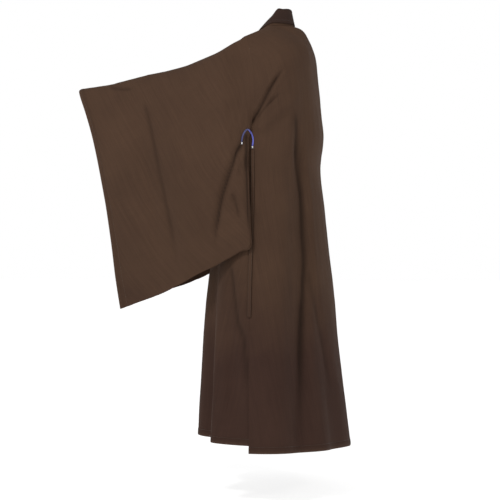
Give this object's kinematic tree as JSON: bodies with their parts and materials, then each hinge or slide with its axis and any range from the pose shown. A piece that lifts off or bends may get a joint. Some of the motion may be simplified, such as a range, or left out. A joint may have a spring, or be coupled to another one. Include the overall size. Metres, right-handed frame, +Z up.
{
  "type": "buddhist monk robe",
  "caption": "Ankle-length wrap robe with crossed collar, dark neck guard and very wide hanging sleeves held forward, worn form with no wearer.",
  "frame": {"origin": "centre of the neck base, at the height of the collar's seam, where the wearer's shoulders and neck carry the robe", "axes": "+Z up, -Y the way the wearer faces and the sleeves point, +X the wearer's left"},
  "size_m": [0.6918, 0.8413, 1.3518],
  "materials": {
    "robe_cloth": "matte plain-weave brown cloth",
    "dark_cloth": "matte dark brown neck guard",
    "blue_piping": "violet-blue satin piping",
    "white_thread": "white thread bar tacks"
  },
  "bodies": {
    "root": {"back": "robe_cloth", "front_left": "robe_cloth", "front_right": "robe_cloth", "sleeve_left": "robe_cloth", "sleeve_right": "robe_cloth", "collar": "robe_cloth", "neck_guard": "dark_cloth", "underarm_arch_left": "blue_piping", "underarm_arch_right": "blue_piping", "bar_tack_left_back": "white_thread", "bar_tack_left_sleeve": "white_thread", "bar_tack_right_back": "white_thread", "bar_tack_right_sleeve": "white_thread", "tie_left_long": "robe_cloth", "tie_right_front": "robe_cloth", "tie_right_side": "robe_cloth", "tie_right_knot": "robe_cloth"}
  },
  "joints": []
}
